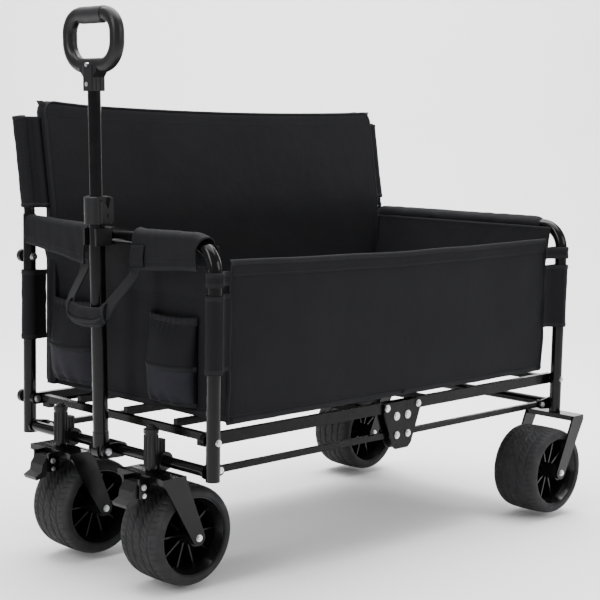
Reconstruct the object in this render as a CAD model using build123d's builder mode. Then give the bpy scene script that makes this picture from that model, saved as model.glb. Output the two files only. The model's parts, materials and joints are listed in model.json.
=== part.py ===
"""Folding camp wagon: two end frames joined by a folding floor, a fabric tub with a
high padded back, four wide tyres and a telescoping pull handle.

+X runs from the handle end to the rear, +Y towards the high back, +Z up.
The origin is on the ground under the middle of the whole wagon.  Millimetres.
"""
import os
from math import atan, degrees

from build123d import *

os.makedirs("parts", exist_ok=True)

# ---- overall layout ----
post_spacing = 922.0
frame_width = 496.0
wheel_radius = 84.5
rear_trail = 53.0
front_overhang = 88.0
rear_overhang = wheel_radius - rear_trail
front_x = (front_overhang - rear_overhang - post_spacing) / 2
rear_x = front_x + post_spacing
mid_x = front_x + post_spacing / 2
half_width = frame_width / 2
sides = {"near": -1, "far": 1}

# ---- end frames ----
tube_r = 11.5
tube_wall = 1.5
bend_r = 45.0
top_z = 567.0
front_foot_z = 196.0
rear_foot_z = 193.0
back_post_top_z = 590.0
extension_r = 9.8
extension_wall = 1.4
extension_foot_z = 500.0
lean_start_z = 596.0
extension_top_z = 762.0
lean_out = 28.9
low_tube_r = 9.0
low_tube_z = 209.0
weld = 1.0
back_bolt_z = 514.0
button_z = 582.5
button_r = 3.4
bumper_r = 11.5
bumper_length = 15.0

# ---- folding floor: each half is a parallelogram of rail, link, post and centre plate ----
rail_z = 259.5
rail_height = 20.0
rail_inner, rail_outer = 22.0, 12.0
rail_pin_r = 4.0
plate_pin = 42.0
link_z = 208.0
link_inset = 27.0
link_pin = plate_pin - link_inset
link_inner, link_outer = 24.0, 16.0
link_height = 10.5
link_pin_r = 3.0
eye_r = 8.0
running = 0.05
open_pivot = 0.5
tab_inner, tab_outer = 15.5, 12.0
cross_bar = 12.0
cross_bar_inset = 14.0
cross_bar_back = 45.0
slat_ys = (-140.0, -10.0, 120.0)
slat_width = 10.0
slat_top_z = 277.5
pad_thickness = 14.0

# ---- wheels, forks and casters ----
track_offset = 123.0
caster_setback = 22.5
front_trail = 32.0
tyre_width = 100.0
rim_r = 66.0
barrel_r = 57.0
lip_depth = 14.0
axle_r = 6.0
fork_leg = 56.0
fork_plate_thickness = 10.0
fork_eye_r = 13.0
front_fork_z = 192.0
rear_fork_z = 193.0
axle_reach = 61.8
stem_r = 6.0
housing_r = 11.0
housing_foot_z = 200.0
housing_top_z = 265.0

# ---- pull handle ----
pole_x = front_x - 29.0
handle_lean = 1.6
lower_r = 13.0
upper_r = 10.75
lower_top_z = 605.0
clamp_foot_z, clamp_top_z = 588.5, 633.0
clip_foot_z, clip_top_z = 553.0, 581.0
ear_inner, ear_outer = 15.2, 19.2
upper_foot_z = 390.0
collar_foot_z = 803.0
ring_r = 12.0
ring_half_width = 62.0
ring_low_z, ring_high_z = 844.0, 925.5
ring_corner_low, ring_corner_high = 39.0, 30.0
seam_y = 31.0

# ---- fabric ----
corner_inset = 42.0
wall_low_z = 284.0
near_wall_top_z = 541.0
near_wall_outer, near_wall_inner = 9.0, 15.0
back_outer, back_inner = 9.0, 35.0
back_top_z = 789.0
back_front_inset, back_rear_inset = 29.0, 32.0
end_wall = 5.0
front_cover, rear_cover = 3.0, 7.0
sleeve_r = 14.2
fabric_gap = 0.5


def save(part, node):
    """Label one finished piece and write it as a STEP file."""
    part.label = node
    export_step(part, f"parts/{node}.step")


def at_y(y):
    """A sketch plane at this Y with local X along +X and local Y along +Z."""
    return Plane.XZ.offset(-y)


def pin_y(x, z, y_a, y_b, radius, mode=Mode.ADD):
    """A round bar, or a hole, along Y."""
    with BuildSketch(at_y(max(y_a, y_b))) as disc:
        with Locations((x, z)):
            Circle(radius)
    extrude(disc.sketch, amount=abs(y_b - y_a), mode=mode)


def pin_z(x, y, z_a, z_b, radius, mode=Mode.ADD):
    """A round bar, or a hole, along Z."""
    with BuildSketch(Plane.XY.offset(z_a)) as disc:
        with Locations((x, y)):
            Circle(radius)
    extrude(disc.sketch, amount=z_b - z_a, mode=mode)


def block(x_a, x_b, y_a, y_b, z_a, z_b, mode=Mode.ADD):
    """A plain block between two corners."""
    with BuildSketch(Plane.XY.offset(z_a)) as base:
        with Locations(((x_a + x_b) / 2, (y_a + y_b) / 2)):
            Rectangle(abs(x_b - x_a), abs(y_b - y_a))
    extrude(base.sketch, amount=z_b - z_a, mode=mode)


def domed_head(x, z, y_seat, side, radius, height):
    """A low domed bolt or rivet head, standing out along Y from its seat."""
    pin_y(x, z, y_seat, y_seat + side * height * 0.5, radius)
    pin_y(x, z, y_seat + side * height * 0.5, y_seat + side * height, radius * 0.7)


def tube_along(points, radius, wall, bend):
    """A bent tube: straight runs joined by equal bends."""
    start, second = Vector(*points[0]), Vector(*points[1])
    with BuildPart() as tube:
        with BuildLine() as route:
            FilletPolyline(*points, radius=bend)
        with BuildSketch(Plane(origin=start, z_dir=second - start)) as ring:
            Circle(radius)
            Circle(radius - wall, mode=Mode.SUBTRACT)
        sweep(sections=ring.sketch, path=route.line)
    return tube.part


# ---- end frames -------------------------------------------------------------------------
def make_hoop(x, foot_z):
    """The near post, its bend and the top cross tube, in one length of tube."""
    points = [(x, -half_width, foot_z), (x, -half_width, top_z), (x, half_width - tube_r + weld, top_z)]
    return tube_along(points, tube_r, tube_wall, bend_r)


def make_back_post(x, foot_z):
    """The far post, with the hole that its button springs into."""
    with BuildPart() as post:
        pin_z(x, half_width, foot_z, back_post_top_z, tube_r)
        pin_z(x, half_width, foot_z - 1, back_post_top_z + 1, tube_r - tube_wall, Mode.SUBTRACT)
        add(button_bore(x), mode=Mode.SUBTRACT)
    return post.part


def button_plane(x):
    """The plane across the button's axis, which points in and towards the handle end."""
    return Plane(origin=(x, half_width, button_z), z_dir=(-1, -1, 0))


def button_bore(x):
    with BuildPart() as bore:
        with BuildSketch(button_plane(x)):
            Circle(button_r + 0.3)
        extrude(amount=tube_r + 4)
    return bore.part


def make_button(x):
    """The sprung button that locks the back-post extension."""
    with BuildPart() as button:
        with BuildSketch(button_plane(x).offset(6.0)):
            Circle(button_r)
        extrude(amount=tube_r + 1.5 - 6.0)
        fillet(button.edges().group_by(Axis((x, half_width, button_z), (-1, -1, 0)))[-1], 1.0)
    return button.part


def make_extension(x):
    """The back-post extension: plugged into the far post, then leaning outwards."""
    points = [
        (x, half_width, extension_foot_z),
        (x, half_width, lean_start_z),
        (x, half_width + lean_out, extension_top_z),
    ]
    with BuildPart() as extension:
        add(tube_along(points, extension_r, extension_wall, 55.0))
        add(button_bore(x), mode=Mode.SUBTRACT)
    return extension.part


def make_low_tube(x, inward):
    """The lower cross tube with the two tabs that carry the lower link pivots."""
    with BuildPart() as low_tube:
        reach = half_width - tube_r + weld
        pin_y(x, low_tube_z, -reach, reach, low_tube_r)
        pin_y(x, low_tube_z, -reach - 1, reach + 1, low_tube_r - tube_wall, Mode.SUBTRACT)
        for side in sides.values():
            outer, inner = side * (half_width - tab_outer), side * (half_width - tab_inner)
            with BuildSketch(at_y(max(outer, inner))) as tab:
                with Locations((x, low_tube_z)):
                    Circle(low_tube_r + 3)
                with Locations((x + inward * link_inset, link_z)):
                    Circle(eye_r + 1)
                make_hull()
                with Locations((x, low_tube_z)):
                    Circle(low_tube_r - tube_wall, mode=Mode.SUBTRACT)
            extrude(tab.sketch, amount=abs(outer - inner))
    return low_tube.part


def make_bumpers(x):
    """Round bumpers on the outside of the far post."""
    with BuildPart() as bumpers:
        for z in (rail_z, back_bolt_z):
            seat = half_width + tube_r
            pin_y(x, z, seat - 1, seat + 4, 6.0)
            pin_y(x, z, seat + 4, seat + bumper_length, bumper_r)
        fillet(bumpers.faces().sort_by(Axis.Y)[-2:].edges(), 3.0)
    return bumpers.part


def make_frame_bolts(x, inward, with_handle_bolt):
    """Rail pivots, link pivots and the extension's cross bolt."""
    with BuildPart() as bolts:
        for side in sides.values():
            outside = side * (half_width + tube_r)
            pin_y(x, rail_z, outside, side * (half_width - rail_inner), rail_pin_r)
            domed_head(x, rail_z, side * (half_width - rail_inner - 0.3), -side, 6.5, 4.0)
            if side < 0:
                domed_head(x, rail_z, outside, side, 5.4, 4.2)
            link_x = x + inward * link_inset
            tab_face = side * (half_width - tab_outer)
            pin_y(link_x, link_z, tab_face, side * (half_width - link_inner), link_pin_r)
            domed_head(link_x, link_z, tab_face, side, 5.2, 4.0)
            domed_head(link_x, link_z, side * (half_width - link_inner - 0.3), -side, 5.0, 3.0)
        pin_y(x, back_bolt_z, half_width + tube_r - 1, half_width - tube_r - 1, 3.5)
        domed_head(x, back_bolt_z, half_width - tube_r, -1, 7.0, 5.0)
        if with_handle_bolt:
            pin_y(pole_x, low_tube_z, -ear_outer, ear_outer, rail_pin_r)
            domed_head(pole_x, low_tube_z, -ear_outer, -1, 6.2, 4.4)
            domed_head(pole_x, low_tube_z, ear_outer, 1, 6.2, 4.4)
    return bolts.part


save(make_hoop(front_x, front_foot_z), "front_hoop")
save(make_hoop(rear_x, rear_foot_z), "rear_hoop")
for end, x, foot_z, inward in (("front", front_x, front_foot_z, 1), ("rear", rear_x, rear_foot_z, -1)):
    save(make_back_post(x, foot_z), f"{end}_back_post")
    save(make_extension(x), f"{end}_back_extension")
    save(make_button(x), f"{end}_extension_button")
    save(make_low_tube(x, inward), f"{end}_low_tube")
    save(make_bumpers(x), f"{end}_post_bumpers")
    save(make_frame_bolts(x, inward, end == "front"), f"{end}_frame_bolts")


# ---- folding floor ----------------------------------------------------------------------
def eye_bar(x_a, x_b, z, height, end_r, y_a, y_b, bores):
    """A flat bar with a round eye at each end and a bore through each eye."""
    with BuildPart() as bar:
        with BuildSketch(at_y(max(y_a, y_b))) as outline:
            with Locations(((x_a + x_b) / 2, z)):
                Rectangle(abs(x_b - x_a), height)
            with Locations((x_a, z), (x_b, z)):
                Circle(end_r)
            for x, radius in zip((x_a, x_b), bores):
                with Locations((x, z)):
                    Circle(radius, mode=Mode.SUBTRACT)
        extrude(outline.sketch, amount=abs(y_a - y_b))
    return bar.part


def make_rails(post_x, inward):
    """Two channel rails, open to the inside, from a post to the centre plates."""
    plate_x = mid_x - inward * plate_pin
    bores = (rail_pin_r + running, rail_pin_r + running)
    with BuildPart() as rails:
        for side in sides.values():
            outer, inner = side * (half_width - rail_outer), side * (half_width - rail_inner)
            add(eye_bar(post_x, plate_x, rail_z, rail_height, rail_height / 2, outer, inner, bores))
            hollow_a, hollow_b = post_x + inward * 30, plate_x - inward * 60
            web = side * (half_width - rail_outer - 2)
            half = rail_height / 2 - 2
            block(hollow_a, hollow_b, web, side * (half_width - rail_inner - 1),
                  rail_z - half, rail_z + half, Mode.SUBTRACT)
    return rails.part


def make_floor_bars(post_x, inward):
    """Cross bars between the rails, with slats on top that carry the floor pad."""
    plate_x = mid_x - inward * plate_pin
    reach = half_width - rail_inner
    low_z = rail_z - cross_bar / 2 + 1
    high_z = low_z + cross_bar
    first_x = post_x + inward * cross_bar_inset
    second_x = plate_x - inward * cross_bar_back
    with BuildPart() as bars:
        for x in (first_x, second_x):
            block(x - cross_bar / 2, x + cross_bar / 2, -reach, reach, low_z, high_z)
        slat_end = mid_x - inward * 4
        for y in slat_ys:
            block(first_x, slat_end, y - slat_width / 2, y + slat_width / 2, high_z - 1, slat_top_z)
        for side in sides.values():
            y = side * (reach - 16)
            block(first_x - cross_bar / 2, first_x + cross_bar / 2, y - 10, y + 10, rail_z - 14, high_z)
    return bars.part


def make_floor_pad(post_x, inward):
    """Half of the floor pad, riding on the slats."""
    low, high = sorted((post_x + inward * (corner_inset + 2), mid_x - inward * 1.0))
    with BuildPart() as pad:
        block(low, high, -half_width + near_wall_inner + fabric_gap, half_width - back_inner - fabric_gap,
              slat_top_z, slat_top_z + pad_thickness)
        if inward > 0:
            block(low - 1, low + 4, -24, 24, slat_top_z - 1, slat_top_z + pad_thickness + 1, Mode.SUBTRACT)
    return pad.part


def make_lower_links(post_x, inward, open_at_post):
    """Two thin links below the rails; one end of each has the extra clearance."""
    plate_x = mid_x - inward * link_pin
    near_post_x = post_x + inward * link_inset
    at_post = open_pivot if open_at_post else running
    at_plate = running if open_at_post else open_pivot
    bores = (link_pin_r + at_post, link_pin_r + at_plate)
    with BuildPart() as links:
        for side in sides.values():
            outer, inner = side * (half_width - link_outer), side * (half_width - link_inner)
            add(eye_bar(near_post_x, plate_x, link_z, link_height, eye_r, outer, inner, bores))
    return links.part


for end, post_x, inward in (("front", front_x, 1), ("rear", rear_x, -1)):
    save(make_rails(post_x, inward), f"{end}_floor_rails")
    save(make_floor_bars(post_x, inward), f"{end}_floor_bars")
    save(make_floor_pad(post_x, inward), f"{end}_floor_pad")
    save(make_lower_links(post_x, inward, end == "rear"), f"{end}_lower_links")

plate_faces = {"outer": (8.0, 11.0), "inner": (24.6, 27.6)}
plate_top_z, plate_low_z = 268.0, 182.0

with BuildPart() as centre_plates:
    for side in sides.values():
        for near_edge, far_edge in plate_faces.values():
            face_y = max(side * (half_width - near_edge), side * (half_width - far_edge))
            with BuildSketch(at_y(face_y)) as plate:
                with BuildLine():
                    Polyline(
                        (mid_x - 49, plate_top_z), (mid_x + 49, plate_top_z), (mid_x + 49, 250),
                        (mid_x + 26, 190), (mid_x + 17, plate_low_z), (mid_x - 17, plate_low_z),
                        (mid_x - 26, 190), (mid_x - 49, 250), close=True,
                    )
                make_face()
                fillet(plate.vertices(), 5.0)
            extrude(plate.sketch, amount=far_edge - near_edge)
save(centre_plates.part, "centre_plates")

with BuildPart() as centre_rivets:
    for side in sides.values():
        for offset, z, radius in ((plate_pin, rail_z, rail_pin_r), (link_pin, link_z, link_pin_r)):
            for x in (mid_x - offset, mid_x + offset):
                pin_y(x, z, side * (half_width - 8.0), side * (half_width - 27.6), radius)
                domed_head(x, z, side * (half_width - 8.0), side, 6.5, 4.0)
                domed_head(x, z, side * (half_width - 27.6), -side, 5.5, 2.5)
        for x in (mid_x - 16, mid_x + 14):
            domed_head(x, rail_z - 17, side * (half_width - 8.0), side, 7.5, 3.0)
save(centre_rivets.part, "centre_rivets")


# ---- wheels, forks and casters ----------------------------------------------------------
def make_tyre(x, y):
    """A wide tyre with rounded shoulders, hollow over the rim."""
    half = tyre_width / 2
    with BuildPart() as tyre:
        with BuildSketch(Plane(origin=(x, y, wheel_radius), x_dir=(0, 1, 0), z_dir=(1, 0, 0))) as outline:
            with BuildLine():
                Polyline(
                    (-half + 5, rim_r), (half - 5, rim_r), (half, rim_r + 4), (half, wheel_radius - 6),
                    (half - 10, wheel_radius), (-half + 10, wheel_radius), (-half, wheel_radius - 6),
                    (-half, rim_r + 4), close=True,
                )
            make_face()
            outer_corners = outline.vertices().filter_by(lambda v: v.Z > wheel_radius * 2 - 6)
            fillet(outer_corners, 5.0)
        revolve(axis=Axis((x, y, wheel_radius), (0, 1, 0)))
    return tyre.part


def make_hub(x, y):
    """A moulded rim with a flared lip, a centre web, ten ribs a side and a bored boss."""
    half = tyre_width / 2
    rim_half = half - 4
    with BuildPart() as hub:
        with BuildSketch(Plane(origin=(x, y, wheel_radius), x_dir=(0, 1, 0), z_dir=(1, 0, 0))) as section:
            with BuildLine():
                Polyline(
                    (-rim_half, rim_r), (-rim_half, rim_r - 2), (-rim_half + lip_depth, barrel_r), (-3, barrel_r), (-3, 12),
                    (3, 12), (3, barrel_r), (rim_half - lip_depth, barrel_r), (rim_half, rim_r - 2), (rim_half, rim_r),
                    close=True,
                )
            make_face()
        revolve(section.sketch, axis=Axis((x, y, wheel_radius), (0, 1, 0)))
        with BuildSketch(Plane(origin=(x, y, wheel_radius), x_dir=(1, 0, 0), z_dir=(0, -1, 0))) as ribs:
            with PolarLocations((barrel_r + 13) / 2, 10):
                Rectangle(barrel_r - 11, 3)
        extrude(ribs.sketch, amount=24, both=True)
        pin_y(x, wheel_radius, y - fork_leg + 4, y + fork_leg - 4, 15)
        pin_y(x, wheel_radius, y - fork_leg, y + fork_leg, axle_r + running, Mode.SUBTRACT)
    return hub.part


def make_axle(x, y):
    """An axle bolt with a domed head at each end."""
    with BuildPart() as axle:
        pin_y(x, wheel_radius, y - fork_leg - 2, y + fork_leg + 2, axle_r)
        for side in sides.values():
            domed_head(x, wheel_radius, y + side * (fork_leg + 2), side, 5.6, axle_reach - fork_leg - 2)
    return axle.part


def fork_legs(axle_x, top_x, y, top_z_, top_length):
    """Two tapering legs from a top plate down to the axle."""
    for side in sides.values():
        face_y = y + side * fork_leg + 2
        with BuildSketch(at_y(face_y)) as leg:
            with Locations((axle_x, wheel_radius)):
                Circle(fork_eye_r)
            with Locations((top_x, top_z_ - fork_plate_thickness / 2)):
                Rectangle(top_length, fork_plate_thickness)
            make_hull()
            with Locations((axle_x, wheel_radius)):
                Circle(axle_r, mode=Mode.SUBTRACT)
        extrude(leg.sketch, amount=4)


def make_rear_fork(y):
    """A fixed fork under a rear post."""
    axle_x = rear_x - rear_trail
    with BuildPart() as fork:
        block(rear_x - 17, rear_x + 17, y - fork_leg - 2, y + fork_leg + 2,
              rear_fork_z - fork_plate_thickness, rear_fork_z)
        fork_legs(axle_x, rear_x, y, rear_fork_z, 34)
    return fork.part


def make_caster_fork(y):
    """A swivel fork: top plate, stem with its bearing race, and two raked legs."""
    stem_x = front_x - caster_setback
    with BuildPart() as fork:
        block(stem_x - 23, stem_x + 27, y - fork_leg - 2, y + fork_leg + 2,
              front_fork_z - fork_plate_thickness, front_fork_z)
        for rib_x in (stem_x - 23, stem_x + 19):
            block(rib_x, rib_x + 4, y - fork_leg + 2, y + fork_leg - 2, front_fork_z, front_fork_z + 1.0)
        fork_legs(front_x + front_trail, stem_x + 3, y, front_fork_z, 44)
        pin_z(stem_x, y, front_fork_z - 1, housing_foot_z - 0.5, 9)
        pin_z(stem_x, y, front_fork_z - 1, housing_top_z - 12, stem_r)
        pedal_x = front_x - front_overhang
        block(pedal_x + 24, stem_x - 20, y - 22, y - 18, front_fork_z - 34, front_fork_z - 2)
        block(pedal_x + 24, stem_x - 20, y + 18, y + 22, front_fork_z - 34, front_fork_z - 2)
    return fork.part


def make_brake_pedal(y):
    """A two-step foot pedal that rocks on a pin between the fork's ears."""
    tip_x = front_x - front_overhang
    pin_x = tip_x + 33
    with BuildPart() as pedal:
        with BuildSketch(at_y(y + 17.5)) as outline:
            with BuildLine():
                Polyline(
                    (pin_x + 7, 184), (pin_x - 8, 184), (tip_x + 15, 170), (tip_x + 13, 158),
                    (tip_x, 151), (tip_x + 3, 145), (tip_x + 22, 150), (tip_x + 26, 160),
                    (pin_x + 7, 168), close=True,
                )
            make_face()
        extrude(outline.sketch, amount=35)
        pin_y(pin_x, 176, y - 18, y + 18, 3.0 + running, Mode.SUBTRACT)
    return pedal.part


def make_brake_rivets(y):
    """The pedal's pivot pin and the rivet below it, through the fork's ears."""
    pin_x = front_x - front_overhang + 33
    with BuildPart() as rivets:
        pin_y(pin_x, 176, y - 22, y + 22, 3.0)
        for side in sides.values():
            domed_head(pin_x, 176, y + side * 22, side, 5.0, 3.0)
            domed_head(pin_x + 1, 162, y + side * 22, side, 4.0, 2.5)
    return rivets.part


def make_stem_housing(y):
    """A fluted plastic housing round the caster stem, clamped to the lower cross tube."""
    stem_x = front_x - caster_setback
    with BuildPart() as housing:
        pin_z(stem_x, y, housing_foot_z, housing_top_z - 8, housing_r)
        with BuildSketch(Plane.XY.offset(housing_foot_z + 3)) as flutes:
            with Locations((stem_x, y)):
                with PolarLocations(housing_r, 12):
                    Rectangle(2.6, 1.8)
        extrude(flutes.sketch, amount=housing_top_z - housing_foot_z - 14)
        pin_z(stem_x, y, housing_top_z - 8, housing_top_z - 1, housing_r + 1.6)
        pin_z(stem_x, y, housing_top_z - 1, housing_top_z + 2, 8.5)
        pin_z(stem_x, y, housing_top_z + 2, housing_top_z + 5, 5.5)
        pin_y(front_x, low_tube_z, y - 11, y + 11, low_tube_r + 6.5)
        block(stem_x, front_x, y - 9, y + 9, low_tube_z - 8, low_tube_z + 8)
        block(stem_x + 6, front_x + 2, y - 7, y + 7, low_tube_z + 8, low_tube_z + 36)
        for rib_x in (stem_x + 14, stem_x + 19):
            block(rib_x, rib_x + 2, y - 8.5, y + 8.5, low_tube_z + 8, low_tube_z + 34)
        pin_y(front_x, low_tube_z, y - 12, y + 12, low_tube_r, Mode.SUBTRACT)
        pin_z(stem_x, y, housing_foot_z, housing_top_z - 10, stem_r + running, Mode.SUBTRACT)
    return housing.part


with BuildPart() as stem_housings:
    for side in sides.values():
        add(make_stem_housing(side * track_offset))
save(stem_housings.part, "caster_stem_housings")

front_axle_x = front_x + front_trail
rear_axle_x = rear_x - rear_trail
for name, side in sides.items():
    caster_y = side * track_offset
    save(make_caster_fork(caster_y), f"caster_fork_{name}")
    with BuildPart() as caster_axle:
        add(make_axle(front_axle_x, caster_y))
        add(make_brake_rivets(caster_y))
    save(caster_axle.part, f"caster_axle_{name}")
    save(make_brake_pedal(caster_y), f"brake_pedal_{name}")
    save(make_tyre(front_axle_x, caster_y), f"front_tyre_{name}")
    save(make_hub(front_axle_x, caster_y), f"front_hub_{name}")
    save(make_tyre(rear_axle_x, side * half_width), f"rear_tyre_{name}")
    save(make_hub(rear_axle_x, side * half_width), f"rear_hub_{name}")

with BuildPart() as rear_forks:
    for side in sides.values():
        add(make_rear_fork(side * half_width))
save(rear_forks.part, "rear_forks")

with BuildPart() as rear_axles:
    for side in sides.values():
        add(make_axle(rear_axle_x, side * half_width))
save(rear_axles.part, "rear_axles")

# ---- pull handle ------------------------------------------------------------------------
with BuildPart() as handle_bracket:
    for side in sides.values():
        face_y = max(side * ear_inner, side * ear_outer)
        with BuildSketch(at_y(face_y)) as ear:
            with Locations((front_x, low_tube_z)):
                Circle(low_tube_r + 4)
            with Locations((pole_x, low_tube_z)):
                Circle(12)
            make_hull()
            with Locations((front_x, low_tube_z)):
                Circle(low_tube_r, mode=Mode.SUBTRACT)
            with Locations((pole_x, low_tube_z)):
                Circle(rail_pin_r, mode=Mode.SUBTRACT)
        extrude(ear.sketch, amount=ear_outer - ear_inner)
    pin_y(front_x, low_tube_z, -ear_outer, ear_outer, low_tube_r + 4)
    pin_y(front_x, low_tube_z, -ear_outer - 1, ear_outer + 1, low_tube_r, Mode.SUBTRACT)
save(handle_bracket.part, "handle_bracket")

def leaned(part):
    """Tips a part built upright over the handle's pivot to the angle the parked handle has."""
    return part.rotate(Axis((pole_x, 0, low_tube_z), (0, 1, 0)), -handle_lean)


with BuildPart() as handle_lower_tube:
    pin_z(pole_x, 0, 203, lower_top_z, lower_r)
    pin_z(pole_x, 0, 203, 240, lower_r + 1.0)
    pin_y(pole_x, low_tube_z, -9, 9, lower_r + 2.0)
    pin_z(pole_x, 0, 232, lower_top_z + 1, upper_r + 0.4, Mode.SUBTRACT)
    pin_y(pole_x, low_tube_z, -20, 20, rail_pin_r + running, Mode.SUBTRACT)
save(leaned(handle_lower_tube.part), "handle_lower_tube")

lever_pin_x, lever_pin_z = pole_x + 4, 603.0
with BuildPart() as handle_clamp:
    with BuildSketch(Plane.XY.offset(clamp_foot_z)) as clamp_outline:
        with Locations((pole_x, 0)):
            Circle(20.5)
        with Locations((pole_x + 3, -4)):
            RectangleRounded(28, 34, 5)
    extrude(amount=clamp_top_z - clamp_foot_z)
    pin_z(pole_x, 0, clamp_foot_z, lower_top_z, lower_r, Mode.SUBTRACT)
    pin_z(pole_x, 0, lower_top_z, clamp_top_z, upper_r + 0.4, Mode.SUBTRACT)
    chamfer(handle_clamp.edges().group_by(Axis.Z)[-1].sort_by(SortBy.LENGTH)[-1], 1.5)
    block(pole_x - 17, pole_x + 25, -32, -21.4, clamp_foot_z, clamp_top_z, Mode.SUBTRACT)
    pin_y(lever_pin_x, lever_pin_z, -30, -14, 3.0)
save(leaned(handle_clamp.part), "handle_clamp")

with BuildPart() as clamp_lever:
    with BuildSketch(at_y(-21.8)) as lever_outline:
        with BuildLine():
            Polyline(
                (pole_x - 9, clamp_foot_z + 2), (pole_x + 14, clamp_foot_z + 2), (pole_x + 14, clamp_top_z - 2),
                (pole_x + 9, clamp_top_z - 2), (pole_x + 3, lever_pin_z + 10), (pole_x - 5, clamp_top_z - 5),
                (pole_x - 9, clamp_top_z - 8), close=True,
            )
        make_face()
        with Locations((lever_pin_x, lever_pin_z)):
            Circle(3.0 + running, mode=Mode.SUBTRACT)
    extrude(amount=6)
save(leaned(clamp_lever.part), "clamp_lever")

with BuildPart() as handle_upper_tube:
    pin_z(pole_x, 0, upper_foot_z, ring_low_z - 6, upper_r)
    pin_z(pole_x, 0, upper_foot_z - 1, ring_low_z - 20, upper_r - 1.2, Mode.SUBTRACT)
save(leaned(handle_upper_tube.part), "handle_upper_tube")

with BuildPart() as handle_grip:
    with BuildLine() as ring_route:
        FilletPolyline(
            (pole_x, -seam_y, ring_high_z), (pole_x, -ring_half_width, ring_high_z),
            (pole_x, -ring_half_width, ring_low_z), (pole_x, ring_half_width, ring_low_z),
            (pole_x, ring_half_width, ring_high_z), (pole_x, seam_y, ring_high_z),
            radius=[ring_corner_high, ring_corner_low, ring_corner_low, ring_corner_high],
        )
    with BuildSketch(Plane(origin=(pole_x, -seam_y, ring_high_z), z_dir=(0, -1, 0))):
        Circle(ring_r)
    sweep()
    with BuildSketch(Plane.XY.offset(collar_foot_z)) as collar:
        with Locations((pole_x, 0)):
            RectangleRounded(30, 25, 5)
    extrude(collar.sketch, amount=ring_low_z - collar_foot_z)
    for rib_y in (-13.3, 12.3):
        for rib_x in (pole_x - 5, pole_x + 3):
            block(rib_x, rib_x + 2, rib_y, rib_y + 1, collar_foot_z, ring_low_z - 14)
    with BuildSketch(Plane.YZ.offset(pole_x - 12)) as throat:
        with BuildLine():
            Polyline(
                (-12.4, ring_low_z - 19), (-22, ring_low_z - 8), (-22, ring_low_z + 2), (22, ring_low_z + 2),
                (22, ring_low_z - 8), (12.4, ring_low_z - 19), close=True,
            )
        make_face()
    extrude(throat.sketch, amount=24)
    pin_z(pole_x, 0, collar_foot_z, ring_low_z - 6, upper_r, Mode.SUBTRACT)
save(leaned(handle_grip.part), "handle_grip")

with BuildPart() as grip_insert:
    pin_y(pole_x, ring_high_z, -seam_y, seam_y, ring_r + 0.8)
    with BuildSketch(Plane.XZ.offset(-seam_y + 3)) as belly:
        with Locations((pole_x, ring_high_z - 3.5)):
            Ellipse(10.5, 11.5)
    extrude(belly.sketch, amount=2 * (seam_y - 3))
save(leaned(grip_insert.part), "grip_insert")

with BuildPart() as grip_rivets:
    for z in (collar_foot_z + 11, ring_low_z + 1):
        with BuildSketch(Plane.YZ.offset(pole_x - 15.8)) as rivet:
            with Locations((0, z)):
                Circle(3.6)
        extrude(rivet.sketch, amount=9)
save(leaned(grip_rivets.part), "grip_rivets")

clip_bore = lower_r + 0.35
clip_near_y, clip_far_y = 4.0, 26.0
with BuildPart() as clip_jaws:
    with BuildSketch(Plane.XY.offset(clip_foot_z)) as clip_outline:
        with Locations((pole_x + 1, 0)):
            Rectangle(32, 36)
        with Locations((pole_x, 0)):
            Circle(clip_bore, mode=Mode.SUBTRACT)
        with Locations((pole_x - 20, 0)):
            Rectangle(40, clip_bore * 2, mode=Mode.SUBTRACT)
    extrude(amount=clip_top_z - clip_foot_z)
clip_cutter = leaned(Pos(pole_x, 0, (clip_foot_z + clip_top_z) / 2) * Cylinder(clip_bore, 60))
with BuildPart() as pole_clip:
    add(leaned(clip_jaws.part))
    block(pole_x + 5, front_x, clip_near_y + 1, clip_far_y - 7, clip_foot_z + 3, clip_top_z - 1)
    pin_y(front_x, top_z, clip_near_y, clip_far_y, tube_r + 3)
    add(clip_cutter, mode=Mode.SUBTRACT)
    pin_y(front_x, top_z, -20, 40, tube_r, Mode.SUBTRACT)
save(pole_clip.part, "pole_clip")


# ---- fabric: plain solids of the right size and place -----------------------------------
with BuildPart() as near_wall:
    block(front_x + corner_inset, rear_x - corner_inset, -half_width + near_wall_outer,
          -half_width + near_wall_inner, wall_low_z, near_wall_top_z)
save(near_wall.part, "near_wall")

lean_slope = lean_out / (extension_top_z - lean_start_z)
back_shift = lean_slope * (back_top_z - lean_start_z)
with BuildPart() as back_panel:
    with BuildSketch(Plane.YZ.offset(front_x + back_front_inset)):
        with BuildLine():
            Polyline(
                (half_width - back_outer, wall_low_z), (half_width - back_outer, lean_start_z),
                (half_width - back_outer + back_shift, back_top_z),
                (half_width - back_inner + back_shift, back_top_z),
                (half_width - back_inner, lean_start_z), (half_width - back_inner, wall_low_z),
                close=True,
            )
        make_face()
    extrude(amount=post_spacing - back_front_inset - back_rear_inset)
    fillet(back_panel.edges().filter_by(Axis.Z, tolerance=degrees(atan(lean_slope)) + 1)
           .filter_by_position(Axis.Z, back_top_z - 120, back_top_z), 2.0)
save(back_panel.part, "back_panel")


def make_end_wall(post_x, inward, cover):
    """An end wall that hangs beside the covered top tube and drops to the floor's end."""
    hang = tube_r + cover + fabric_gap
    def along(inset):
        return post_x + inward * inset
    with BuildPart() as wall:
        face_y = half_width - back_inner - fabric_gap
        with BuildSketch(at_y(face_y)):
            with BuildLine():
                Polyline(
                    (along(corner_inset - 4), wall_low_z), (along(corner_inset - 4), 468),
                    (along(hang), top_z - 9), (along(hang + end_wall), top_z - 9),
                    (along(corner_inset - 4 + end_wall), 470), (along(corner_inset - 4 + end_wall), wall_low_z),
                    close=True,
                )
            make_face()
        extrude(amount=face_y + half_width - near_wall_inner - fabric_gap)
    return wall.part


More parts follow.
